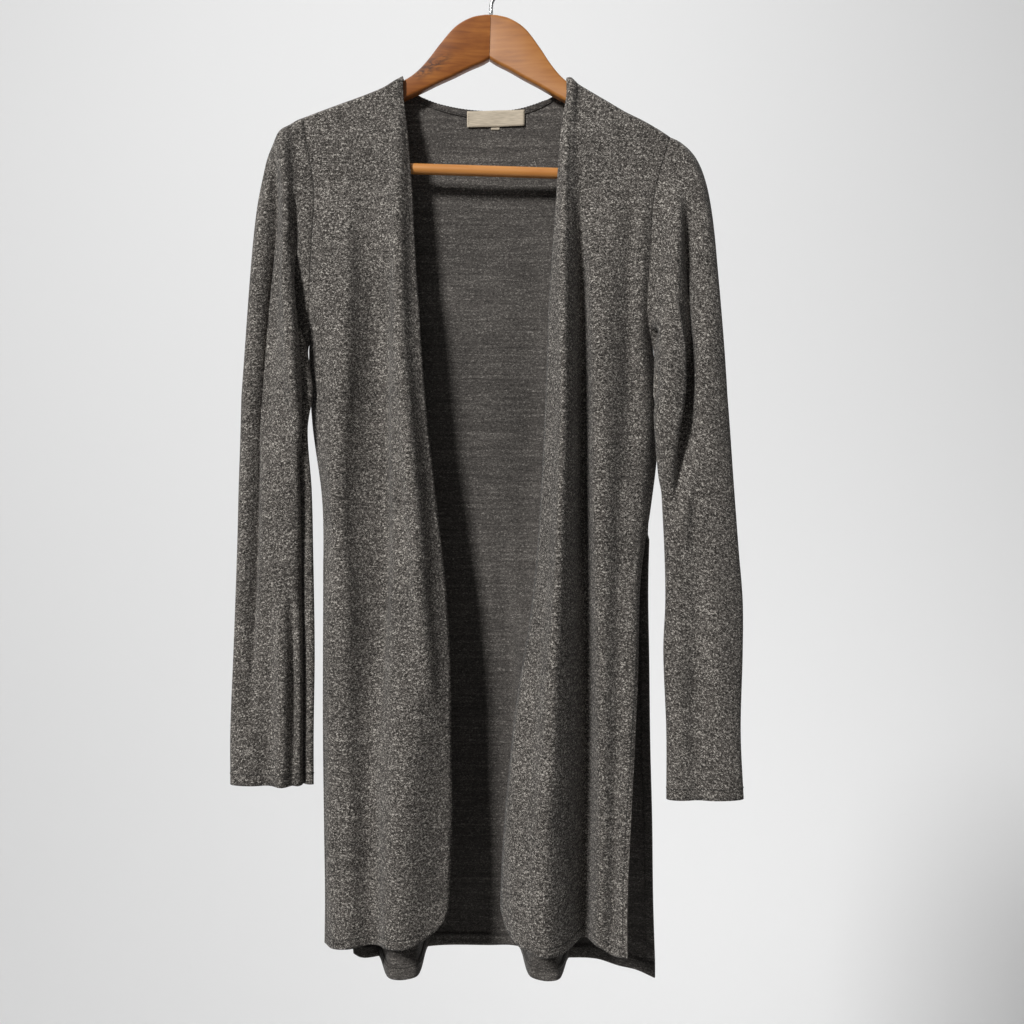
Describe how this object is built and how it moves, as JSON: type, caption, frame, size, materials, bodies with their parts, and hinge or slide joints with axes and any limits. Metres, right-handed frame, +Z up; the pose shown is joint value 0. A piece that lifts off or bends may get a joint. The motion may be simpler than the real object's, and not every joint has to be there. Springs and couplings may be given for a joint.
{
  "type": "duster cardigan on a wooden clothes hanger",
  "caption": "Open-front knee-length knitted duster cardigan with long sleeves and side slits, hanging on a wooden hanger with a trouser bar and wire hook.",
  "frame": {"origin": "inside crest of the hanger's hook, where it hangs on a rail", "axes": "+Z up, the front of the garment faces -Y, +X to the viewer's right"},
  "size_m": [0.51, 0.1199, 1.0386],
  "materials": {
    "knit": "soft heathered sweater knit, matt",
    "knit_turned": "smooth wrong side of the knit, matt",
    "label": "cream woven tape",
    "wood": "clear satin varnish on pale wood",
    "wire": "polished steel wire"
  },
  "bodies": {
    "root": {"right_front": "knit", "left_front": "knit", "back": "knit", "right_sleeve": "knit", "left_sleeve": "knit", "back_hem_turn": "knit_turned", "right_slit_turn": "knit_turned", "left_slit_turn": "knit_turned", "back_neck_band": "knit_turned", "neck_label": "label", "size_tab": "label", "hanger_right_arm": "wood", "hanger_left_arm": "wood", "hanger_bar": "wood", "hanger_hook": "wire"}
  },
  "joints": []
}
